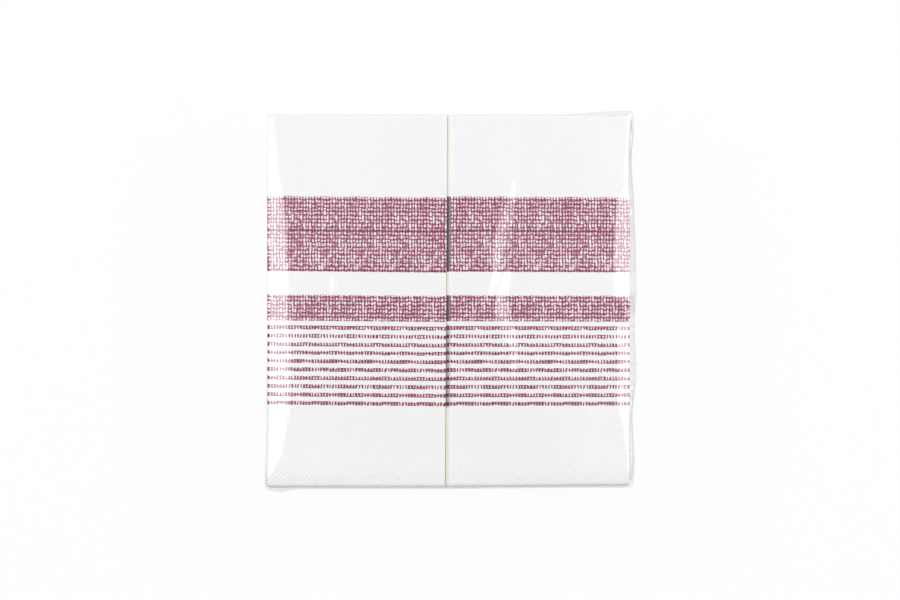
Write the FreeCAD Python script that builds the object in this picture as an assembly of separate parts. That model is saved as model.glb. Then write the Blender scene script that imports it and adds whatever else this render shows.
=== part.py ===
# Sealed pack of folded paper napkins: two stacks, side by side, in a clear film wrap.
# Sizes are in millimetres. X runs across the two stacks, Y along the napkins and Z up from the table.
# The origin is the middle of the wrap's outline, on the face that it stands on.
import FreeCAD, Part

import math
import os

# Napkin: a square sheet folded in half three times, measured folded
napkin_width = 96.5
napkin_length = 200.0
ply = 0.5
fold_air = 0.1
fold_flats = 6
cut_edge_setback = 0.8

# Stacks
napkins_per_stack = 25
stack_gap = 1.8

# Printed fields on the top napkins, measured down from the back edge of the napkin
ink = 0.1
broad_band_start = 44.0
broad_band_width = 40.2
narrow_band_start = 96.8
narrow_band_width = 13.9
stripe_start = 113.15
stripe_pitch = 4.5
stripe_width = 2.1
stripe_count = 10

# Film wrap, drawn thicker than the real film
film = 0.2
side_air = 0.3
top_air = 0.3
end_bulge = 2.5
seal_fin = 4.5
seal_setback = 1.0
gusset_tuck = 50.0
gusset_hem = 0.1

# What the folds and the stack come to
run = 2 * ply
fold_inner = fold_air / 2
fold_outer = fold_inner + run
spine_inner = fold_outer + fold_air
spine_outer = spine_inner + run
napkin_height = 2 * spine_outer
stack_height = napkins_per_stack * napkin_height

# What the wrap comes to, inside and outside
inner_x = stack_gap / 2 + napkin_width + side_air
inner_y = napkin_length / 2 + side_air
inner_z = stack_height + top_air
outer_x = inner_x + film
outer_y = inner_y + film
outer_z = inner_z + 2 * film
outer_corner = side_air + film
seal_z = outer_z / 2
end_half_y = outer_y - outer_corner
fin_thickness = 2 * film
reach_right = outer_x + end_bulge + seal_fin
reach_left = outer_x + end_bulge + fin_thickness
pack_middle_x = (reach_left - reach_right) / 2


def point(x, z, y=0.0):
    return FreeCAD.Vector(x, y, z)


def half_turn(centre, radius, side, upwards):
    """XZ corners of a fold, turned in a few flats, that bulges to side, -1 for left or 1 for right."""
    x, z = centre
    rise = radius if upwards else -radius
    corners = []
    for n in range(fold_flats + 1):
        angle = math.pi * n / fold_flats
        corners.append((x + side * radius * math.sin(angle), z - rise * math.cos(angle)))
    return corners


def along_y(corners, half_length):
    """Extrudes an outline of XZ corners to the same length in front and behind."""
    points = [point(x, z, -half_length) for x, z in corners + corners[:1]]
    face = Part.Face(Part.makePolygon(points))
    return face.extrude(FreeCAD.Vector(0, 2 * half_length, 0))


def napkin_section():
    """The doubled sheet from its cut edge, round the spine, back over the top, down the
    second fold, and in again to the inner cut edge. The spine is on the right."""
    spine_x = napkin_width - spine_outer
    fold_x = fold_outer
    cut_x = cut_edge_setback
    spine_z = spine_outer
    fold_z = napkin_height - fold_outer
    spine = (spine_x, spine_z)
    second_fold = (fold_x, fold_z)
    inner_top_z = spine_z - fold_inner
    inner_under_z = spine_z - fold_outer
    section = [(cut_x, 0)]
    section += half_turn(spine, spine_outer, 1, True)
    section += half_turn(second_fold, fold_outer, -1, False)
    section += [(spine_x, spine_z + fold_inner), (spine_x, inner_top_z)]
    section += [(cut_x, inner_top_z), (cut_x, inner_under_z)]
    section += half_turn(spine, fold_outer, 1, True)
    section += [(fold_x, fold_z - fold_inner), (fold_x, fold_z + fold_inner)]
    section += half_turn(spine, spine_inner, 1, False)
    section += [(cut_x, run)]
    return section


def napkin():
    return along_y(napkin_section(), napkin_length / 2)


def print_fields():
    """The two bands and the thin stripes, as fields of ink on the flat of a napkin."""
    bands = [(broad_band_start, broad_band_width), (narrow_band_start, narrow_band_width)]
    bands += [(stripe_start + n * stripe_pitch, stripe_width) for n in range(stripe_count)]
    width = napkin_width - fold_outer - spine_outer
    fields = []
    for start, band in bands:
        front = napkin_length / 2 - start - band
        fields.append(Part.makeBox(width, band, ink, FreeCAD.Vector(fold_outer, front, 0)))
    return Part.makeCompound(fields)


def end_panels(side, base_x):
    """The wedge under the two film panels that slope out from an end to its seal."""
    base = side * base_x
    tip = side * (base_x + end_bulge)
    return along_y([(base, 0), (tip, seal_z), (base, outer_z)], end_half_y)


def gusset(side, end, wall_x, deeper):
    """The pocket where a side wall folds in under an end's panels, cut out past the pack.
    Its faces spread from an apex on the end wall, deeper mm in from where the film folds."""
    past = 1.2
    mouth_y = end_half_y - gusset_tuck - deeper + past * gusset_tuck
    apex = point(side * wall_x, seal_z, end * (mouth_y - past * gusset_tuck))
    low = point(side * wall_x, seal_z - past * seal_z, end * mouth_y)
    high = point(side * wall_x, seal_z + past * seal_z, end * mouth_y)
    tip = point(side * (wall_x + past * end_bulge), seal_z, end * mouth_y)
    mouth = Part.Face(Part.makePolygon([low, high, tip, low]))
    return pyramid(mouth, apex)


def pyramid(base, apex):
    faces = [base]
    for edge in base.Edges:
        start, end = [vertex.Point for vertex in edge.Vertexes]
        faces.append(Part.Face(Part.makePolygon([start, end, apex, start])))
    solid = Part.makeSolid(Part.makeShell(faces))
    if solid.Volume < 0:
        solid.reverse()
    return solid


def standing_fin():
    """The seal of the right end, which stands straight out."""
    root = outer_x + end_bulge / 2
    tip = outer_x + end_bulge + seal_fin
    low = seal_z - fin_thickness / 2
    high = seal_z + fin_thickness / 2
    corners = [(root, low), (tip, low), (tip, high), (root, high)]
    return along_y(corners, end_half_y - seal_setback)


def folded_fin():
    """The seal of the left end, folded down flat on the lower panel."""
    slope = math.hypot(end_bulge, seal_z)
    down = (end_bulge / slope, -seal_z / slope)
    out = (-seal_z / slope, -end_bulge / slope)
    root = (-(outer_x + end_bulge), seal_z)
    foot = (root[0] + down[0] * seal_fin, root[1] + down[1] * seal_fin)
    corners = [root, foot]
    for x, z in (foot, root):
        corners.append((x + out[0] * fin_thickness, z + out[1] * fin_thickness))
    return along_y(corners, end_half_y - seal_setback)


def tube(half_x, half_y, height, radius, floor):
    """A block whose four long edges are rounded, as the film turns round them."""
    corner = FreeCAD.Vector(-half_x, -half_y, floor)
    block = Part.makeBox(2 * half_x, 2 * half_y, height, corner)
    turned = [edge for edge in block.Edges if abs(edge.tangentAt(0).x) > 0.5]
    return block.makeFillet(radius, turned)


def film_wrap():
    """One tube of film round both stacks, gusseted and sealed at its two ends."""
    wrap = tube(outer_x, outer_y, outer_z, outer_corner, 0)
    hollow = tube(inner_x, inner_y, inner_z, side_air, film)
    spread = gusset_tuck / end_bulge
    hem = gusset_hem * spread
    wall = 2 * film * spread
    for side in (-1, 1):
        wrap = wrap.fuse(end_panels(side, outer_x))
        room = end_panels(side, inner_x)
        for end in (-1, 1):
            room = room.cut(gusset(side, end, inner_x, wall - hem))
        hollow = hollow.fuse(room)
    wrap = wrap.fuse([standing_fin(), folded_fin()])
    pockets = [gusset(side, end, outer_x, -hem) for side in (-1, 1) for end in (-1, 1)]
    return wrap.cut(pockets).cut(hollow).removeSplitter()


def write(name, shape):
    placed = shape.copy()
    placed.translate(FreeCAD.Vector(pack_middle_x, 0, 0))
    placed.exportStep("parts/" + name + ".step")
    print(name, len(placed.Solids), round(placed.Volume, 1), placed.isValid())


def main():
    os.makedirs("parts", exist_ok=True)
    sheet = napkin()
    fields = print_fields()
    stacks = {"left": -stack_gap / 2 - napkin_width, "right": stack_gap / 2}
    for side, stack_x in stacks.items():
        for n in range(napkins_per_stack):
            placed = sheet.copy()
            placed.translate(FreeCAD.Vector(stack_x, 0, film + n * napkin_height))
            write(f"{side}_napkin_{n + 1:02d}", placed)
        inked = fields.copy()
        inked.translate(FreeCAD.Vector(stack_x, 0, film + stack_height))
        write(side + "_print", inked)
    write("film_wrap", film_wrap())


main()
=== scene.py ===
import math
import random

import bpy
import numpy as np
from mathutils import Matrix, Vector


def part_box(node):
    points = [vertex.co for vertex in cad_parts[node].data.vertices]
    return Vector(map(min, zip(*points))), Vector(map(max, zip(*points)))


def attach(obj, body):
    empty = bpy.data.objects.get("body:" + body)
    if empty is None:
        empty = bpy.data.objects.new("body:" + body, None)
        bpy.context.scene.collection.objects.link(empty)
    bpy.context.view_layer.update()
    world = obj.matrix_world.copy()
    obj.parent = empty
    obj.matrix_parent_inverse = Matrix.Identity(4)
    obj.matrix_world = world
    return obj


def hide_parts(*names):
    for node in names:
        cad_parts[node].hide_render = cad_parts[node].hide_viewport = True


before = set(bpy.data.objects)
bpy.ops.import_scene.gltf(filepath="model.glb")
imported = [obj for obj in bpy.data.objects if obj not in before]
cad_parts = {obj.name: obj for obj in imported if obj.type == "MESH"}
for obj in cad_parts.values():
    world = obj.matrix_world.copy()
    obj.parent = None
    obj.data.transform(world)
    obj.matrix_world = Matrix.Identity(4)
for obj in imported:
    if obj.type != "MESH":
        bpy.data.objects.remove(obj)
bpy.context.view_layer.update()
bpy.ops.object.select_all(action="DESELECT")
view = bpy.context.scene.view_settings
view.view_transform = "Standard"

MM = 0.001
NAPKINS = 25
first_low, first_high = [np.array(corner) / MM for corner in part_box("left_napkin_01")]
last_low, last_high = [np.array(corner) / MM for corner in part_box("right_napkin_25")]
wrap_low, wrap_high = [np.array(corner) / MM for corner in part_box("film_wrap")]
NAPKIN_W = first_high[0] - first_low[0]
NAPKIN_L = first_high[1] - first_low[1]
NAPKIN_H = first_high[2] - first_low[2]
STACK_X = {"left": first_low[0], "right": last_low[0]}
STACK_LOW = first_low[2]
STACK_TOP = last_high[2]
PACK_X = (first_low[0] + last_high[0]) / 2
PACK_HALF_X = (last_high[0] - first_low[0]) / 2
GAP_REACH = 1.75
GAP_FOLD = STACK_X["right"] - GAP_REACH
SPINE_X = STACK_X["left"] + NAPKIN_W

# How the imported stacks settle

# Width of the edge zone where the film presses the stack's edge down, at places along Y
LEFT_ZONE = [(-101, 0.8), (-94, 1.4), (-90, 3.8), (-83, 7.2), (-72, 9.4), (-53, 12.2), (-20, 12.1), (-14, 11.2), (40, 10.2), (54, 9.0), (64, 6.4), (75, 5.0), (89, 3.9), (97, 2.8), (101, 2.2)]
RIGHT_ZONE = [(-101, 0.6), (-90, 0.8), (-81, 1.7), (-68, 3.2), (-57, 6.0), (-32, 6.4), (-13, 7.0), (-8, 2.4), (-1, 3.0), (3, 8.2), (38, 8.3), (56, 6.0), (62, 2.8), (75, 2.2), (97, 1.8), (101, 1.0)]
EDGE_SLOPE = math.tan(math.radians(8.0))


def along(table, y):
    places, widths = zip(*table)
    return np.interp(y, places, widths)


def pressed(x, y):
    """How far the film presses the top of the stacks down near the pack's two ends."""
    from_left = x - (PACK_X - PACK_HALF_X)
    from_right = (PACK_X + PACK_HALF_X) - x
    left = np.clip(along(LEFT_ZONE, y) - from_left, 0, 20)
    right = np.clip(along(RIGHT_ZONE, y) - from_right, 0, 20)
    return EDGE_SLOPE * (left + right)


def waves(x, y, z):
    """The soft unevenness of stacked paper."""
    rise = 0.14 * np.sin(x / 17 + y / 41 + z / 19 + 0.7)
    rise += 0.12 * np.sin(x / 29 - y / 23 + z / 13 + 2.1)
    rise += 0.07 * np.sin(x / 9 + y / 31 - z / 17 + 4.0)
    return rise - 0.33


def slumped(x, y, z):
    """Where a place along Y lies once the stacks have slumped: the napkins under the top ones
    stand out a little at the front, and the right stack's front lies askew, a little back."""
    share = y * 2 / NAPKIN_L
    under = 1 - np.exp(-np.clip(STACK_TOP - z, 0, 99) / 3.5)
    held_back = 0.9 * np.clip((x - GAP_FOLD) / NAPKIN_W, 0, 1)
    front = (0.05 - held_back + 0.95 * under) * np.clip(-share, 0, 1.02) ** 4
    return y - front - 0.3 * np.clip(share, 0, 1.02) ** 2


def meeting_line(y):
    """Where the two stacks touch, along X."""
    return -2.62 - 0.0062 * (NAPKIN_L / 2 - y)


def drawn_in(y):
    """How far the film draws the pack's right side in."""
    return 0.7 * np.clip((y - 52) / 8, 0, 1) + 0.5 * np.clip((-58 - y) / 8, 0, 1)


def settled(places, side=None):
    """Moves points, in mm, to where they lie in the pack: the left or the right stack's, or
    the film's, which spans the gap."""
    x, y, z = places.T
    height = np.clip((z - STACK_LOW) / (STACK_TOP - STACK_LOW), 0, 1.01)
    free = np.sin(np.pi * np.clip(height, 0, 1) * 0.5)
    drop = pressed(x, y)
    drop = drop + 0.85 * np.clip((y + NAPKIN_L / 2 - 9.0) / -9.0, 0, 1.05) ** 2
    drop = drop + 2.2 * np.clip((y + NAPKIN_L / 2 - 2.6) / -2.6, 0, 1.05) ** 4
    drop = drop + 1.8 * np.clip((NAPKIN_L / 2 - 0.9 - y) / -0.9, 0, 1.05) ** 2
    if side == "left":
        widened = meeting_line(y) + 0.07 - SPINE_X
        x = x + widened * (x - STACK_X["left"]) / NAPKIN_W
    if side == "right":
        begins = -1.0 - 0.002 * (NAPKIN_L / 2 - y)
        flank = np.clip((begins - x) / (begins - GAP_FOLD), 0, 1.3)
        drop = drop + 0.35 * flank ** 2
        x = x + flank * (meeting_line(y) - GAP_FOLD)
        x = x - drawn_in(y) * np.clip((x - GAP_FOLD) / NAPKIN_W, 0, 1.1) ** 4
    drop = drop * np.clip((z - STACK_TOP + 26) / 26, 0, 1.05) ** 1.5
    lower = z + waves(x, y, z) * free - drop
    return np.stack([x, slumped(x, y, z), lower], 1)


# Folded napkins

PLY = 0.44
PLY_GAP = 0.05
HALF_PAIR = PLY_GAP + PLY
MID_PLY = PLY_GAP + PLY / 2


def bend(centre, radius, start, stop, steps, outside, squareness):
    """Samples of a fold: places on its middle line, and the ways that its outer side faces."""
    rows = []
    for angle in np.linspace(start, stop, steps + 1)[1:-1]:
        c, s = math.cos(angle), math.sin(angle)
        way = np.array([
            math.copysign(abs(c) ** (2 / squareness), c),
            math.copysign(abs(s) ** (2 / squareness), s),
        ])
        rows.append((centre + radius * way, outside * way))
    return rows


def run(start, stop, z, faces, steps):
    """Samples of a flat layer between two places along X."""
    return [(np.array([x, z]), np.array([0.0, faces])) for x in np.linspace(start, stop, steps + 1)]


def fold_path(setback, steps, reach):
    """The doubled sheet's way through the folded napkin, as its section shows it. Its second
    fold reaches further left by reach, and its cut edges lie half that much further in."""
    layer = NAPKIN_H / 4
    z = [layer * (n + 0.5) for n in range(4)]
    spine_x = NAPKIN_W - NAPKIN_H / 2
    fold_x = layer - reach
    spine = np.array([spine_x, NAPKIN_H / 2])
    rows = run(setback + reach / 2, spine_x, z[0], -1, steps)
    rows += bend(spine, 1.5 * layer, -math.pi / 2, math.pi / 2, 14, 1, 9.0)
    rows += run(spine_x, fold_x, z[3], 1, steps)
    rows += bend(np.array([fold_x, 3 * layer]), 0.5 * layer, math.pi / 2, 1.5 * math.pi, 8, 1, 3.6)
    rows += run(fold_x, spine_x, z[2], -1, steps)
    rows += bend(spine, 0.5 * layer, math.pi / 2, -math.pi / 2, 6, -1, 2.2)
    rows += run(spine_x, setback * 1.3 + reach / 2, z[1], 1, steps)
    places = np.array([row[0] for row in rows])
    ways = np.array([row[1] for row in rows])
    return places, ways


def pair_path(side, steps, near):
    """One face of the doubled sheet from back to front and back again: y, and the
    distance from the pair's middle. Near lists more places, as distances from its ends."""
    reach = MID_PLY + side * PLY / 2
    turn_y = -NAPKIN_L / 2 + HALF_PAIR
    places = list(np.linspace(NAPKIN_L / 2, turn_y, steps + 1))
    places += [NAPKIN_L / 2 - away for away in near] + [turn_y + away for away in near]
    places.sort(reverse=True)
    there = [(y, reach) for y in places]
    turn = [
        (turn_y - reach * math.sin(angle), reach * math.cos(angle))
        for angle in np.linspace(0, math.pi, 7)[1:-1]
    ]
    back = [(y, -reach) for y in places[::-1]]
    return np.array(there + turn + back)


def grid_faces(rows, columns, start, flip):
    faces = []
    for r in range(rows - 1):
        for c in range(columns - 1):
            a = start + r * columns + c
            face = (a, a + columns, a + columns + 1, a + 1)
            faces.append(face[::-1] if flip else face)
    return faces


def napkin(name, side, level, steps, steps_y):
    """A sheet folded in eight, with print on its outer face."""
    chance = random.Random(name)
    reach = GAP_REACH - chance.uniform(0, 0.06) if side == "right" else 0.0
    places, ways = fold_path(chance.uniform(0.6, 1.5), steps, reach)
    along_sheet = np.concatenate([[0], np.cumsum(np.linalg.norm(np.diff(places, axis=0), axis=1))])
    flat_width = along_sheet[-1]
    along_sheet = along_sheet - along_sheet[np.argmin(places[:, 0])]
    if side == "left":
        along_sheet = along_sheet + 20 * REPEAT * THREAD_X
    near = (0.3, 0.6, 1.0, 1.5, 2.2, 3.2) if level > NAPKINS - 4 else ()
    low = np.array(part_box(name)[0]) / MM
    slide = np.array([chance.uniform(-0.12, 0.0), chance.uniform(-0.3, 0.4)])
    turn = math.radians(chance.uniform(-0.02, 0.02))
    shift = chance.uniform(-0.5, 0.5)
    depth = chance.uniform(0.2, 0.8)
    if level == NAPKINS:
        slide = np.zeros(2)
        turn = 0.0
        shift = 0.2 if side == "left" else 0.35
    vertices, maps = [], []
    for face_side in (1, -1):
        section = pair_path(face_side, steps_y, near)
        x = places[:, None, 0] + section[None, :, 1] * ways[:, None, 0]
        z = places[:, None, 1] + section[None, :, 1] * ways[:, None, 1]
        y = np.broadcast_to(section[None, :, 0], x.shape)
        inner = np.clip(1.4 - np.abs(z / NAPKIN_H - 0.5) * 4, 0, 1)
        y = y + depth * inner * np.clip((-y - NAPKIN_L / 2 + 30) / 30, 0, 1)
        middle_x = x - NAPKIN_W / 2
        turned_x = middle_x * math.cos(turn) - y * math.sin(turn) + NAPKIN_W / 2 + slide[0]
        turned_y = middle_x * math.sin(turn) + y * math.cos(turn) + slide[1]
        vertices.append(np.stack([low[0] + turned_x, turned_y, low[2] + z], -1).reshape(-1, 3))
        skew = 0.0095 if side == "left" else 0.0065 * np.clip((y + 55) / 111, 0, 1)
        down = NAPKIN_L / 2 - y - skew * middle_x - shift
        across = np.broadcast_to(along_sheet[:, None], x.shape)
        maps.append(np.stack([across, down], -1).reshape(-1, 2))
    rows, columns = len(places), len(section)
    count = rows * columns
    faces = grid_faces(rows, columns, 0, True)
    printed = len(faces)
    faces += grid_faces(rows, columns, count, False)
    for c in range(columns - 1):
        end = (rows - 1) * columns
        faces.append((c, c + 1, count + c + 1, count + c))
        faces.append((end + c + 1, end + c, count + end + c, count + end + c + 1))
    for r in range(rows - 1):
        a, b = r * columns, (r + 1) * columns
        faces.append((b, a, count + a, count + b))
        faces.append((a + columns - 1, b + columns - 1, count + b + columns - 1, count + a + columns - 1))
    piece = mesh_piece(name + "_folded", settled(np.concatenate(vertices), side), faces)
    spread = piece.data.uv_layers.new(name="sheet")
    corners = np.zeros(len(piece.data.loops), dtype=np.int32)
    piece.data.loops.foreach_get("vertex_index", corners)
    spread.uv.foreach_set("vector", np.concatenate(maps)[corners].astype(np.float32).ravel())
    piece.data.materials.append(printed_paper)
    piece.data.materials.append(plain_paper)
    slots = np.ones(len(faces), dtype=np.int32)
    slots[:printed] = 0
    piece.data.polygons.foreach_set("material_index", slots)
    crisp(piece, 62)
    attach(piece, "root")
    if level == NAPKINS:
        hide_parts(name, side + "_print")
    else:
        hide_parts(name)
    return piece, flat_width


def mesh_piece(name, places, faces):
    """A piece from points in mm."""
    mesh = bpy.data.meshes.new(name)
    mesh.from_pydata((places * MM).tolist(), [], faces)
    mesh.update()
    piece = bpy.data.objects.new(name, mesh)
    bpy.context.collection.objects.link(piece)
    mesh.polygons.foreach_set("use_smooth", [True] * len(mesh.polygons))
    return piece


def crisp(piece, degrees):
    """Smooth shading that stops at edges sharper than this."""
    bpy.ops.object.select_all(action="DESELECT")
    piece.select_set(True)
    bpy.context.view_layer.objects.active = piece
    bpy.ops.object.shade_smooth_by_angle(angle=math.radians(degrees), keep_sharp_edges=False)


# Materials


class Nodes:
    """Short ways to add shader nodes to one material."""

    def __init__(self, name):
        self.material = bpy.data.materials.new(name)
        self.material.use_nodes = True
        self.tree = self.material.node_tree
        self.tree.nodes.clear()
        self.output = self.tree.nodes.new("ShaderNodeOutputMaterial")

    def add(self, kind, **settings):
        node = self.tree.nodes.new("ShaderNode" + kind)
        for key, value in settings.items():
            setattr(node, key, value)
        return node

    def put(self, socket, value):
        if isinstance(value, bpy.types.NodeSocket):
            self.tree.links.new(value, socket)
        else:
            socket.default_value = value

    def sum(self, operation, *values):
        node = self.add("Math", operation=operation)
        for socket, value in zip(node.inputs, values):
            self.put(socket, value)
        return node.outputs[0]

    def vector(self, x, y, z=0.0):
        node = self.add("CombineXYZ")
        for socket, value in zip(node.inputs, (x, y, z)):
            self.put(socket, value)
        return node.outputs[0]

    def noise(self, place, scale=1.0, detail=2.0):
        node = self.add("TexNoise")
        self.put(node.inputs["Vector"], place)
        node.inputs["Scale"].default_value = scale
        node.inputs["Detail"].default_value = detail
        return node.outputs[0]

    def chance(self, x, y):
        """A random number, the same all over each whole-number cell."""
        node = self.add("TexWhiteNoise", noise_dimensions="2D")
        self.put(node.inputs["Vector"], self.vector(x, y))
        return node.outputs[0]

    def fade(self, value, low, high):
        """0 below low, 1 over high, straight between."""
        node = self.add("MapRange", clamp=True)
        self.put(node.inputs["Value"], value)
        node.inputs["From Min"].default_value = low
        node.inputs["From Max"].default_value = high
        return node.outputs[0]

    def between(self, value, low, high, soft):
        """1 where value lies between low and high."""
        over = self.fade(self.sum("SUBTRACT", value, low), -soft, soft)
        under = self.fade(self.sum("SUBTRACT", high, value), -soft, soft)
        return self.sum("MULTIPLY", over, under)

    def ramp(self, value, stops):
        node = self.add("ValToRGB")
        self.put(node.inputs["Fac"], value)
        elements = node.color_ramp.elements
        while len(elements) < len(stops):
            elements.new(0.5)
        for element, (place, colour) in zip(elements, stops):
            element.position = place
            element.color = (*colour, 1)
        return node.outputs["Color"]

    def product(self, colour, other):
        node = self.add("Mix", data_type="RGBA", blend_type="MULTIPLY")
        node.inputs["Factor"].default_value = 1.0
        self.put(node.inputs["A"], colour)
        self.put(node.inputs["B"], other)
        return node.outputs["Result"]

    def finish(self, shader):
        self.tree.links.new(shader, self.output.inputs["Surface"])
        return self.material


def linear(*rgb):
    """Scene colour from the red, green and blue of a screen."""
    return tuple((v / 255 / 12.92) if v <= 10 else ((v / 255 + 0.055) / 1.055) ** 2.4 for v in rgb)


THREAD_X = 1.576
THREAD_Y = 2.1
REPEAT = 12
BROAD = (43.9, 84.2)
NARROW = (96.8, 110.7)
STRIPES = 113.15
STRIPE_PITCH = 4.5
STRIPE = 2.1


def column_of(n, a):
    """The number of a thread in the printed pattern, which repeats."""
    column = n.sum("FLOOR", a)
    return n.sum("MULTIPLY_ADD", n.sum("FLOOR", n.sum("DIVIDE", n.sum("ADD", column, 0.5), REPEAT)), -REPEAT, column)


def twill(n, u, w):
    """Height of the fine diagonal emboss."""
    wobble = n.noise(n.vector(u, w, 3.0), 0.16, 1.0)
    line = n.sum("MULTIPLY", n.sum("SUBTRACT", u, w), math.tau / 1.8 / math.sqrt(2))
    line = n.sum("ADD", line, n.sum("MULTIPLY", wobble, 5.0))
    ridge = n.sum("MULTIPLY_ADD", n.sum("SINE", line), 0.5, 0.5)
    fibre = n.noise(n.vector(u, w, 9.0), 1.6, 3.0)
    deep = n.sum("MULTIPLY_ADD", n.fade(w, 170.0, 200.0), 1.5, n.fade(fibre, 0.25, 0.75))
    return n.sum("MULTIPLY_ADD", ridge, n.sum("MULTIPLY", deep, 0.75), n.sum("MULTIPLY", fibre, 0.4))


def from_middle(n, value):
    """0 at the middle of each whole-number cell and 1 at its edges."""
    return n.sum("MULTIPLY", n.sum("ABSOLUTE", n.sum("SUBTRACT", n.sum("FRACT", value), 0.5)), 2.0)


def weave_ink(n, u, w):
    """Ink of the two bands: 0 in the holes between the printed threads and over 1 where they cross."""
    sway_u = n.noise(n.vector(u, w, 1.0), 0.25, 1.0)
    sway_w = n.noise(n.vector(u, w, 7.0), 0.25, 1.0)
    a = n.sum("DIVIDE", n.sum("MULTIPLY_ADD", sway_u, 0.6, u), THREAD_X)
    b = n.sum("DIVIDE", n.sum("MULTIPLY_ADD", sway_w, 1.0, w), THREAD_Y)
    column = column_of(n, a)
    row = n.sum("FLOOR", b)
    a = n.sum("MULTIPLY_ADD", n.sum("SUBTRACT", n.chance(column, n.sum("ADD", row, 31.0)), 0.5), 0.26, a)
    b = n.sum("MULTIPLY_ADD", n.chance(column, row), 0.24, b)
    row = n.sum("FLOOR", b)
    off_a, off_b = from_middle(n, a), from_middle(n, b)
    patch = n.sum("SUBTRACT", n.noise(n.vector(u, w, 2.0), 0.07, 2.0), 0.5)
    luck = n.chance(n.sum("ADD", column, 60.0), row)
    wide = n.sum("MULTIPLY_ADD", luck, 0.2, 0.42)
    wide = n.sum("ADD", wide, n.sum("MULTIPLY_ADD", n.chance(column, 3.0), 0.16, n.sum("MULTIPLY", patch, -0.3)))
    other = n.chance(column, n.sum("ADD", row, 70.0))
    tall = n.sum("MULTIPLY_ADD", n.sum("POWER", other, 3.0), 0.65, 0.34)
    tall = n.sum("ADD", tall, n.sum("MULTIPLY_ADD", n.chance(8.0, row), 0.16, n.sum("MULTIPLY", patch, -0.35)))
    hole = n.fade(n.sum("SUBTRACT", wide, off_a), -0.14, 0.14)
    hole = n.sum("MULTIPLY", hole, n.fade(n.sum("SUBTRACT", tall, off_b), -0.14, 0.14))
    filled = n.fade(n.chance(n.sum("ADD", column, 7.0), n.sum("ADD", row, 9.0)), 0.62, 1.0)
    hole = n.sum("MULTIPLY", hole, n.sum("MULTIPLY_ADD", filled, -0.42, 1.0))
    slit = n.sum("MULTIPLY", n.fade(off_a, 0.3, 0.06), n.fade(n.chance(n.sum("ADD", column, 25.0), n.sum("ADD", row, 2.0)), 0.3, 0.9))
    hole = n.sum("MAXIMUM", hole, n.sum("MULTIPLY", slit, 0.75))
    crossing = n.sum("MULTIPLY", n.fade(off_a, 0.45, 0.9), n.fade(off_b, 0.35, 0.9))
    grain = n.fade(n.noise(n.vector(u, w, 5.0), 1.0, 2.0), 0.3, 0.72)
    ink = n.sum("MULTIPLY_ADD", crossing, 0.26, n.sum("MULTIPLY_ADD", grain, 0.5, 0.43))
    return n.sum("MULTIPLY", ink, n.sum("SUBTRACT", 1.0, hole))


def stripe_ink(n, u, w):
    """Ink of the thin stripes: short ends of thread, joined along their tops, middles or feet."""
    from_first = n.sum("SUBTRACT", w, STRIPES)
    number = n.sum("FLOOR", n.sum("DIVIDE", from_first, STRIPE_PITCH))
    inside = n.sum("SUBTRACT", from_first, n.sum("MULTIPLY", number, STRIPE_PITCH))
    sway = n.sum("SUBTRACT", n.noise(n.vector(u, number, 4.0), 0.5, 1.0), 0.5)
    a = n.sum("DIVIDE", n.sum("MULTIPLY_ADD", sway, 1.2, u), THREAD_X)
    column = column_of(n, a)
    luck = n.chance(column, number)
    other = n.chance(number, column)
    lean = n.sum("MULTIPLY", n.sum("SUBTRACT", luck, 0.5), n.sum("SUBTRACT", inside, 1.05))
    a = n.sum("MULTIPLY_ADD", lean, 0.34, a)
    foot = n.sum("MULTIPLY_ADD", luck, -0.35, STRIPE + 0.05)
    ends = n.between(inside, n.sum("MULTIPLY", other, 0.35), foot, 0.2)
    wide = n.sum("MULTIPLY_ADD", n.chance(n.sum("ADD", column, 5.0), number), 0.2, 0.39)
    ends = n.sum("MULTIPLY", ends, n.fade(n.sum("SUBTRACT", wide, from_middle(n, a)), -0.2, 0.2))
    ends = n.sum("MULTIPLY", ends, n.sum("MULTIPLY_ADD", other, 0.35, 0.8))
    ink = ends
    for place, key, least in ((0.3, 11.0, 0.48), (1.05, 23.0, 0.6), (1.85, 37.0, 0.48)):
        shown = n.chance(n.sum("ADD", n.sum("FLOOR", n.sum("DIVIDE", column, 3.0)), key), number)
        centre = n.sum("MULTIPLY_ADD", sway, 0.5, place)
        away = n.sum("ABSOLUTE", n.sum("SUBTRACT", inside, centre))
        line = n.sum("MULTIPLY", n.fade(away, 0.36, 0.12), n.fade(shown, least, least + 0.1))
        ink = n.sum("MAXIMUM", ink, n.sum("MULTIPLY", line, 0.72))
    fits = n.sum("MULTIPLY", n.sum("GREATER_THAN", number, -0.5), n.sum("LESS_THAN", number, 9.5))
    return n.sum("MULTIPLY", ink, fits)


def paper_shader(n, colour, height):
    shader = n.add("BsdfPrincipled")
    n.put(shader.inputs["Base Color"], colour)
    shader.inputs["Roughness"].default_value = 0.92
    shader.inputs["Specular IOR Level"].default_value = 0.15
    bump = n.add("Bump")
    bump.inputs["Strength"].default_value = 0.5
    bump.inputs["Distance"].default_value = 0.00024
    n.put(bump.inputs["Height"], height)
    n.put(shader.inputs["Normal"], bump.outputs[0])
    return shader.outputs[0]


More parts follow.
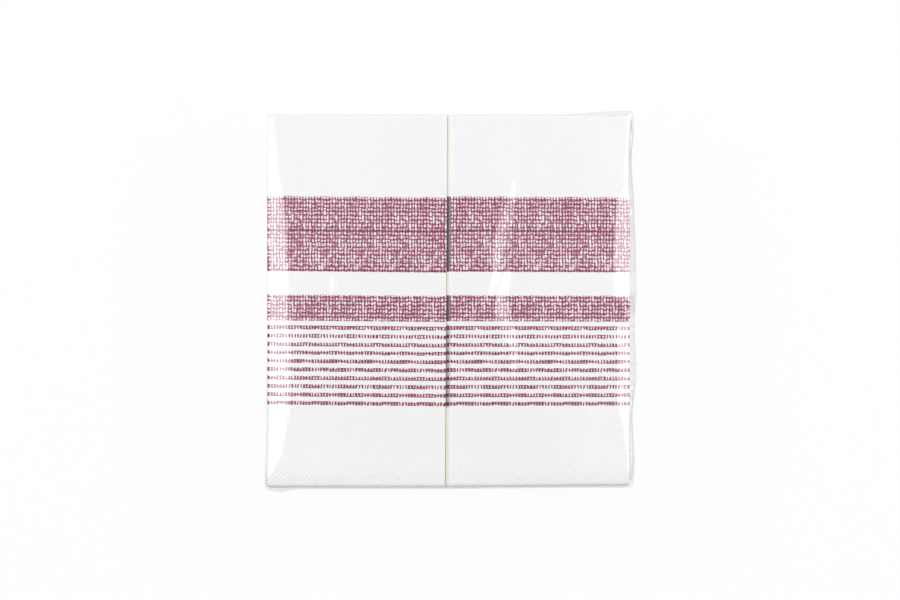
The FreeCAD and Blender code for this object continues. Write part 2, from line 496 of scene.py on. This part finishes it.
def make_printed_paper():
    n = Nodes("printed_paper")
    flat = n.add("UVMap", uv_map="sheet")
    parts = n.add("SeparateXYZ")
    n.put(parts.inputs[0], flat.outputs[0])
    u, w = parts.outputs[0], parts.outputs[1]
    a_cell = column_of(n, n.sum("DIVIDE", u, THREAD_X))
    fringe = n.sum("MULTIPLY", n.chance(a_cell, 21.0), 0.5)
    other_fringe = n.sum("MULTIPLY", n.chance(a_cell, 34.0), 0.3)
    broad = n.between(w, n.sum("SUBTRACT", BROAD[0] + 0.2, fringe), n.sum("SUBTRACT", BROAD[1], other_fringe), 0.12)
    narrow = n.between(w, n.sum("SUBTRACT", NARROW[0] + 0.2, fringe), n.sum("SUBTRACT", NARROW[1], other_fringe), 0.12)
    heavy = n.sum("MULTIPLY", n.between(w, 61.4, 62.4, 0.25), 0.3)
    hem = n.sum("MULTIPLY", n.between(w, BROAD[1] - 1.0, BROAD[1] - 0.1, 0.15), 0.32)
    weave = n.sum("ADD", weave_ink(n, u, w), n.sum("ADD", heavy, hem))
    bands = n.sum("MULTIPLY", n.sum("MAXIMUM", broad, narrow), weave)
    ink = n.sum("MAXIMUM", bands, stripe_ink(n, u, w))
    creased = n.sum("MULTIPLY", n.sum("MAXIMUM", broad, narrow), n.fade(n.sum("ABSOLUTE", u), 2.1, 1.3))
    ink_left = n.sum("SUBTRACT", 1.0, n.sum("MULTIPLY", creased, 0.7))
    ink = n.sum("DIVIDE", n.sum("MULTIPLY", ink, ink_left), 1.5)
    striped = n.between(w, STRIPES - 0.5, STRIPES + 43.5, 0.4)
    # Painted shade: in the printed zones the paper at the fold facing the gap is darkened, down to near black right at
    # the fold where the two stacks meet.
    printed = n.sum("MAXIMUM", n.sum("MAXIMUM", broad, narrow), n.sum("MULTIPLY", striped, 0.6))
    painted_gap_shade = n.sum("MULTIPLY", printed, n.fade(n.sum("ABSOLUTE", u), 2.4, 0.4))
    gap_shade_colour = n.ramp(painted_gap_shade, [(0.0, (1.0, 1.0, 1.0)), (0.375, (0.62, 0.61, 0.615)), (0.625, (0.24, 0.23, 0.235)), (0.95, (0.04, 0.03, 0.035))])
    height = twill(n, u, w)
    # Painted shade: the emboss's low parts are coloured darker than its ridges, more so towards the front edge where
    # the emboss is deeper; the fibre noise in the height also varies the tone at random.
    emboss_groove_shade = n.ramp(height, [(0.0, (0.885, 0.885, 0.884)), (1.0, (0.95, 0.95, 0.949))])
    # Painted shade, warm-tinted: unprinted paper at the fold facing the gap is darkened to cream, standing in for
    # light bounced between the two stacks.
    by_print = n.sum("MAXIMUM", n.sum("MAXIMUM", broad, narrow), striped)
    from_fold = n.sum("MAXIMUM", by_print, n.fade(n.sum("ABSOLUTE", u), 0.6, 1.4))
    warm_gap_shade = n.ramp(from_fold, [(0.0, (0.91, 0.865, 0.69)), (1.0, (1.0, 1.0, 1.0))])
    paper_with_painted_shade = n.product(emboss_groove_shade, warm_gap_shade)
    inked = n.ramp(ink, [
        (0.0, linear(255, 254, 254)),
        (0.2, linear(214, 164, 183)),
        (0.4, linear(168, 94, 122)),
        (0.667, linear(136, 50, 80)),
        (1.0, linear(84, 30, 48)),
    ])
    return n.finish(paper_shader(n, n.product(n.product(paper_with_painted_shade, inked), gap_shade_colour), height))


def make_plain_paper():
    n = Nodes("plain_paper")
    place = n.add("TexCoord").outputs["Object"]
    fibre = n.noise(place, 900.0, 3.0)
    cloud = n.noise(place, 60.0, 2.0)
    mixed = n.sum("MULTIPLY_ADD", cloud, 0.5, n.sum("MULTIPLY", fibre, 0.5))
    colour = n.ramp(mixed, [(0.3, (0.9, 0.893, 0.875)), (0.7, (0.94, 0.935, 0.918))])
    return n.finish(paper_shader(n, colour, fibre))


def make_film():
    n = Nodes("clear_wrap")
    place = n.add("TexCoord").outputs["Object"]
    crease = n.noise(place, 55.0, 2.0)
    fine = n.noise(place, 240.0, 2.0)
    height = n.sum("MULTIPLY_ADD", fine, 0.12, crease)
    bump = n.add("Bump")
    bump.inputs["Strength"].default_value = 0.26
    bump.inputs["Distance"].default_value = 0.0006
    n.put(bump.inputs["Height"], height)
    gloss = n.add("BsdfGlossy")
    gloss.inputs["Color"].default_value = (0.97, 0.985, 1.0, 1)
    gloss.inputs["Roughness"].default_value = 0.23
    n.put(gloss.inputs["Normal"], bump.outputs[0])
    facing = n.add("LayerWeight")
    facing.inputs["Blend"].default_value = 0.5
    clear = n.add("BsdfTransparent")
    edge_on = facing.outputs["Facing"]
    n.put(clear.inputs["Color"], n.ramp(edge_on, [(0.0, (0.995, 0.995, 0.995)), (0.6, (0.985, 0.985, 0.985)), (0.85, (0.972, 0.972, 0.972)), (1.0, (0.9, 0.9, 0.9))]))
    shine = n.sum("MULTIPLY_ADD", n.sum("POWER", edge_on, 5.0), 0.3, 0.108)
    mix = n.add("MixShader")
    n.put(mix.inputs[0], shine)
    n.put(mix.inputs[1], clear.outputs[0])
    n.put(mix.inputs[2], gloss.outputs[0])
    return n.finish(mix.outputs[0])


# Film wrap

ROUND_END = 0.7
SIDE_Y = NAPKIN_L / 2 + 0.42
END_X = PACK_HALF_X + 0.45
FILM_TOP = STACK_TOP + 0.16
FILM_LOW = 0.13
MID_Z = (FILM_TOP + FILM_LOW) / 2
HALF_Z = (FILM_TOP - FILM_LOW) / 2
BULGE = 2.4
LAP = 6.0
FIN = 0.8

# How far the film stands out from the pack's right end at mid-height, at places along Y
RIGHT_FIN = [(-101, 3.6), (-95, 4.6), (-84, 4.6), (-74, 4.2), (-64, 3.7), (-53, 4.8), (-42, 6.0), (-21, 5.3), (-5, 5.4), (3, 6.0),
             (12, 6.0), (33, 5.6), (54, 4.9), (70, 3.6), (81, 3.2), (92, 4.4), (97, 3.6), (101, 3.2)]


def wrinkle(x, y, line, width, height):
    """A raised fold of film along a broken line of XY places."""
    best = np.full(x.shape, 1e9)
    along_line = np.zeros(x.shape)
    total = 0.0
    for (x0, y0), (x1, y1) in zip(line, line[1:]):
        length = math.hypot(x1 - x0, y1 - y0)
        t = np.clip(((x - x0) * (x1 - x0) + (y - y0) * (y1 - y0)) / length ** 2, 0, 1)
        away = np.hypot(x - x0 - t * (x1 - x0), y - y0 - t * (y1 - y0))
        nearer = away < best
        best = np.where(nearer, away, best)
        along_line = np.where(nearer, total + t * length, along_line)
        total += length
    taper = np.clip(np.sin(np.pi * np.clip(along_line / total, 0.02, 0.98)), 0, 1) ** 0.6
    return height * taper * np.exp(-((best / width) ** 2))


def px(x, y):
    """A place on the top of the pack, from its place in the photograph's frame."""
    return (-1.25 + (x - 450) * 0.5362, 0.54 - (y - 300) * 0.5362)


# Folds of the film over the right stack: rows of a place down the photograph's frame, and
# where the fold's slope begins and ends across it
FOLDS = [
    [(178, 512, 513), (190, 510.5, 513), (200, 505, 512), (208, 501, 511), (217, 498.5, 510), (240, 494, 507.5), (264, 493, 502), (273, 492.5, 498), (284, 490.5, 496), (296, 488, 490)],
    [(266, 507, 508), (276, 502, 508), (288, 498.5, 506.5), (300, 495, 506), (315, 495, 508), (325, 499, 511), (340, 506, 514), (352, 510, 515), (380, 512, 513)],
]
FOLD_SLOPE = math.tan(math.radians(8.7))
GLINTS = [
    ([px(335.5, 272), px(333.5, 297)], 1.4, 0.32),
    ([px(640, 306), px(622, 303), px(606, 298)], 1.3, 0.7),
    ([px(505, 196), px(500, 216)], 0.9, 0.12),
]


def fold(x, y, rows):
    """Height of a fold of film that rises slowly across its rows and drops back at its far side."""
    down, begins, ends = zip(*rows)
    places = [px(a, b)[1] for a, b in zip(begins, down)][::-1]
    begin = np.interp(y, places, [px(a, b)[0] for a, b in zip(begins, down)][::-1])
    end = np.interp(y, places, [px(a, b)[0] for a, b in zip(ends, down)][::-1])
    inside = (y > places[0]) & (y < places[-1])
    rise = FOLD_SLOPE * np.clip(np.minimum(x, end) - begin, 0, 20)
    rise = rise * np.where(x > end, np.exp(-((x - end) / 0.6) ** 2), 1)
    return np.where(inside, rise, 0)


def film_top(x, y):
    """Height of the film over the stacks."""
    places = np.stack([x.ravel(), y.ravel(), np.full(x.size, STACK_TOP)], 1)
    height = settled(places)[:, 2].reshape(x.shape) + FILM_TOP - STACK_TOP
    for line, width, rise in GLINTS:
        height = height + wrinkle(x, y, line, width, rise)
    for rows in FOLDS:
        height = height + fold(x, y, rows)
    return height - 0.18 * np.exp(-((x - PACK_X) / 1.6) ** 2)


def ruffle(a, b, c):
    """A small made-up unevenness between -1 and 1."""
    return (np.sin(a * 1.7 + 1.3 * np.sin(b * 0.9 + c)) + np.sin(b * 2.3 + 1.1 * np.sin(a * 1.1 - c))) / 2


def loop_samples():
    """Round the film: which wall, its Y, and its height from -1 at the bottom to 1 at the top."""
    loop = [("low", y, -1) for y in np.linspace(LAP, -SIDE_Y, 24)[:-1]]
    loop += [("front", -SIDE_Y, v) for v in np.linspace(-1, 1, 27)[:-1]]
    across = list(np.linspace(-SIDE_Y, SIDE_Y, 196)[:-1])
    across += [side * (SIDE_Y - away) for side in (-1, 1) for away in (0.3, 0.55, 0.8, 1.3, 1.8)]
    loop += [("top", y, 1) for y in sorted(across)]
    loop += [("back", SIDE_Y, v) for v in np.linspace(1, -1, 27)[:-1]]
    loop += [("low", y, -1) for y in np.linspace(SIDE_Y, -LAP, 24)]
    return loop


def body_station(x, loop):
    """The film's loop at one place along the pack."""
    wall = np.array([name for name, _, _ in loop])
    y = np.array([place for _, place, _ in loop], dtype=float)
    v = np.array([height for _, _, height in loop], dtype=float)
    whole_x = np.full(len(loop), x + PACK_X)
    inward = END_X - abs(x)
    round_end = ROUND_END * 2.1 if x < 0 else ROUND_END * 1.4 + drawn_in(y)
    rounding = round_end - np.sqrt(np.clip(round_end ** 2 - np.clip(round_end - inward, 0, None) ** 2, 0, None))
    top = film_top(whole_x, np.clip(y, -SIDE_Y + 0.4, SIDE_Y - 0.4)) - rounding
    z = np.where(v >= 1, top, FILM_LOW + (v + 1) / 2 * (top - FILM_LOW))
    near_edge = np.clip((np.abs(y) - SIDE_Y + 1.0) / 1.0, 0, 1)
    z = np.where(wall == "top", z - 0.5 * near_edge ** 2, z)
    z = np.where((wall == "front") | (wall == "back"), np.minimum(z, top - 0.5), z)
    out = side_slack(x, v) * np.where(wall == "back", 1, 0)
    out = out - front_slack(x, v) * np.where(wall == "front", 1, 0)
    y = y + out
    y = slumped(whole_x, y, z)
    z = np.where((wall == "low") & (np.arange(len(loop)) > len(loop) // 2), z - 0.07, z)
    return np.stack([whole_x, y, z], 1)


def side_slack(x, v):
    """How far the film at the back stands off the napkins."""
    loose = 1.3 * np.exp(-(((x - 84) / 17) ** 2)) * np.clip(1 - ((v - 0.55) / 0.62) ** 2, 0, 1)
    loose = loose + 0.6 * np.exp(-(((x + 90) / 12) ** 2)) * np.clip(1 - (v / 0.9) ** 2, 0, 1)
    return loose + 0.16 * (1 + ruffle(x / 14, v * 2.2, 1.0)) * np.clip(1 - v ** 2, 0, 1)


def front_slack(x, v):
    """How far the film at the front stands off the napkins."""
    loose = 0.7 * np.exp(-(((x - 90) / 10) ** 2)) * np.clip(1 - ((v - 0.45) / 0.7) ** 2, 0, 1)
    loose = loose + 0.8 * np.exp(-(((x + 90) / 9) ** 2)) * np.clip(1 - ((v - 0.5) / 0.7) ** 2, 0, 1)
    return loose + 0.16 * (1 + ruffle(x / 16, v * 2.0, 4.0)) * np.clip(1 - v ** 2, 0, 1)


def seal_reach(side, y):
    """How far out the end panels meet in their seal."""
    if side < 0:
        return BULGE
    return max(float(along(RIGHT_FIN, y)) + 1.1 - FIN, BULGE)


def end_station(side, t, rim, loop):
    """The film's loop where it closes over an end, from t = 0 at the block to 1 at the seal."""
    depth = t * HALF_Z
    places = []
    for (wall, y, v), edge in zip(loop, rim):
        swell = seal_reach(side, y * (1 - t) + edge[1] * t) * math.sin(t * math.pi / 2) ** (0.8 if side > 0 else 1.0)
        far = swell + 0.4 * math.sin(math.pi * t) * float(ruffle(y / 13, t * 4, side))
        if wall in ("top", "low"):
            z = MID_Z + (edge[2] - MID_Z) * (1 - t)
            places.append((PACK_X + side * (END_X + max(far, 0.02)), edge[1] * (1 - t) + y * t, z))
            continue
        reach = abs(v) * HALF_Z
        hand = 1 if wall == "back" else -1
        sign = 1 if v >= 0 else -1
        high = abs(edge[2] - MID_Z) / max(reach, 1e-6) if reach > 1 else 1.0
        if reach <= HALF_Z - depth:
            inward, height, lift = depth, reach, 0.06 + (max(far, 0) - 0.12) * t ** 4
        else:
            inward, height = HALF_Z - reach, HALF_Z - depth
            lift = 0.06 + (max(far, 0) - 0.12) * (1 - inward / max(depth, 1e-6) * (1 - t ** 4))
        start_y = edge[1] * (1 - t) + hand * SIDE_Y * t
        places.append((PACK_X + side * (END_X + max(lift, 0.03)), start_y - hand * inward, MID_Z + sign * height * min(high, 1.0)))
    return np.array(places)


def seal_station(side, k, last, loop):
    """The film's loop in the seal, k from 0 at its root to 1 at its cut edge. It is crimped."""
    places = []
    for (wall, y, v), edge in zip(loop, last):
        layer = {"top": 0.12, "low": -0.12}.get(wall, 0.04 if v >= 0 else -0.04)
        at_y = edge[1]
        crimp = 0.13 * math.cos(k * 6 * math.pi)
        if side > 0:
            root = seal_reach(side, at_y)
            x = END_X + root + k * FIN
            z = MID_Z + layer + crimp + 1.1 * k * math.sin(at_y / 13 + 0.6) + 0.5 * k * math.sin(at_y / 4.7)
            places.append((PACK_X + x, at_y, z))
        else:
            x = END_X + BULGE + 0.25 + layer + crimp
            z = MID_Z - 4.6 * k
            places.append((PACK_X - x, at_y, z))
    return np.array(places)


# Where the loose film bulges out: its middle, how far it spreads, and how far it moves
EARS = [
    ((88, 101, 103), (19, 9, 14), (0.0, 1.1, 0.0)),
    ((93, 101, 104), (6, 8, 8), (0.5, 0.5, 0.2)),
    ((97, 94, 102), (9, 9, 12), (1.0, 0.0, 0.0)),
    ((-93, -101, 101), (5, 6, 12), (0.0, -1.1, 0.0)),
    ((-100, -97, 98), (8, 12, 18), (-1.3, 0.0, 0.0)),
    ((97, -89, 99), (9, 13, 16), (0.7, 0.0, 0.0)),
    ((-100, -60, 90), (6, 30, 30), (-0.5, 0.0, 0.0)),
]


def with_ears(places):
    """Adds the loose bulges at the pack's corners to points of the film."""
    moved = places.copy()
    for middle, spread, move in EARS:
        away = (((places - np.array(middle)) / np.array(spread)) ** 2).sum(axis=1)
        moved += np.exp(-away)[:, None] * np.array(move)
    return moved


def film_wrap():
    loop = loop_samples()
    stations = []
    inside = END_X - ROUND_END
    folds = np.array([px(486, 0)[0], px(518, 0)[0]]) - PACK_X
    body = np.concatenate([
        np.linspace(-inside, folds[0], 114)[:-1], np.linspace(folds[0], folds[1], 46)[:-1], np.linspace(folds[1], inside, 66),
    ])
    ends = [ROUND_END * (1 - math.cos(a)) for a in np.linspace(0, math.pi / 2, 5)[:-1]]
    body = np.concatenate([[-END_X + e for e in ends], body, [END_X - e for e in ends[::-1]]])
    rows = [body_station(x, loop) for x in body]
    for side in (-1, 1):
        rim = rows[0] if side < 0 else rows[-1]
        closing = [end_station(side, t, rim, loop) for t in np.linspace(0, 1, 17)[1:]]
        closing += [seal_station(side, k, closing[-1], loop) for k in np.linspace(0.04, 1, 13)]
        if side < 0:
            stations = closing[::-1] + rows
        else:
            stations = stations + closing
    places = with_ears(np.concatenate(stations))
    places[:, 0] += 0.45 * np.clip((-94 - places[:, 0]) / 5, 0, 1)
    piece = mesh_piece("clear_film", places, grid_faces(len(stations), len(loop), 0, False))
    piece.data.materials.append(make_film())
    crisp(piece, 70)
    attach(piece, "root")
    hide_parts("film_wrap")
    return piece


# The pack

printed_paper = make_printed_paper()
plain_paper = make_plain_paper()
for side in ("left", "right"):
    for level in range(1, NAPKINS + 1):
        fine = level == NAPKINS
        piece, across = napkin(f"{side}_napkin_{level:02d}", side, level, 28 if fine else 6, 44 if fine else 13)
film = film_wrap()

# Room, light and camera

bpy.ops.mesh.primitive_plane_add(size=8, location=(0, 0, 0))
floor = bpy.context.object
floor.name = "floor"
n = Nodes("pale_floor")
matt = n.add("BsdfDiffuse")
matt.inputs["Color"].default_value = (0.86, 0.86, 0.86, 1)
glow = n.add("Emission")
rays = n.add("LightPath")
seen = n.sum("MAXIMUM", rays.outputs["Is Camera Ray"], n.sum("MAXIMUM", rays.outputs["Is Glossy Ray"], rays.outputs["Is Transmission Ray"]))
mix = n.add("MixShader")
n.put(mix.inputs[0], n.sum("MULTIPLY", seen, 0.95))
n.put(mix.inputs[1], matt.outputs[0])
n.put(mix.inputs[2], glow.outputs[0])
floor.data.materials.append(n.finish(mix.outputs[0]))
n.material.cycles.emission_sampling = "NONE"

world = bpy.data.worlds.new("room")
bpy.context.scene.world = world
world.use_nodes = True
tree = world.node_tree
tree.nodes.clear()
place = tree.nodes.new("ShaderNodeTexCoord")
split = tree.nodes.new("ShaderNodeSeparateXYZ")
tree.links.new(place.outputs["Generated"], split.inputs[0])
walls = tree.nodes.new("ShaderNodeValToRGB")
for position in (0.55, 0.93):
    walls.color_ramp.elements.new(position)
for stop, (position, grey) in zip(walls.color_ramp.elements, ((0.0, 0.66), (0.55, 0.56), (0.93, 0.47), (0.97, 0.08))):
    stop.position = position
    stop.color = (grey, grey, grey, 1)
tree.links.new(split.outputs[2], walls.inputs["Fac"])
background = tree.nodes.new("ShaderNodeBackground")
tree.links.new(walls.outputs["Color"], background.inputs["Color"])
slant = tree.nodes.new("ShaderNodeMath")
slant.operation = "MULTIPLY_ADD"
tree.links.new(split.outputs[1], slant.inputs[0])
slant.inputs[1].default_value = 0.3
slant.inputs[2].default_value = 0.95
tree.links.new(slant.outputs[0], background.inputs["Strength"])
output = tree.nodes.new("ShaderNodeOutputWorld")
tree.links.new(background.outputs[0], output.inputs["Surface"])


def softbox(name, tilt, power):
    """A lamp beside the camera, tilt degrees off straight above and turned to the pack."""
    light = bpy.data.lights.new(name, "AREA")
    light.shape = "RECTANGLE"
    light.size = 0.8
    light.size_y = 1.0
    light.energy = power
    lamp = bpy.data.objects.new(name, light)
    bpy.context.collection.objects.link(lamp)
    turn = math.radians(tilt)
    lamp.location = (1.5 * math.sin(turn), 0.28, 0.108 + 1.5 * math.cos(turn))
    lamp.rotation_euler = (0, turn, 0)


softbox("left_softbox", -29, 10.05)
softbox("right_softbox", 29, 10.05)

camera_data = bpy.data.cameras.new("camera")
camera_data.sensor_width = 36.0
far = 1.25
camera_data.lens = 36.0 * far / (900 * 0.5362 * MM)
camera = bpy.data.objects.new("camera", camera_data)
bpy.context.collection.objects.link(camera)
camera.location = (-1.25 * MM, 0.54 * MM, STACK_TOP * MM + far)
bpy.context.scene.camera = camera
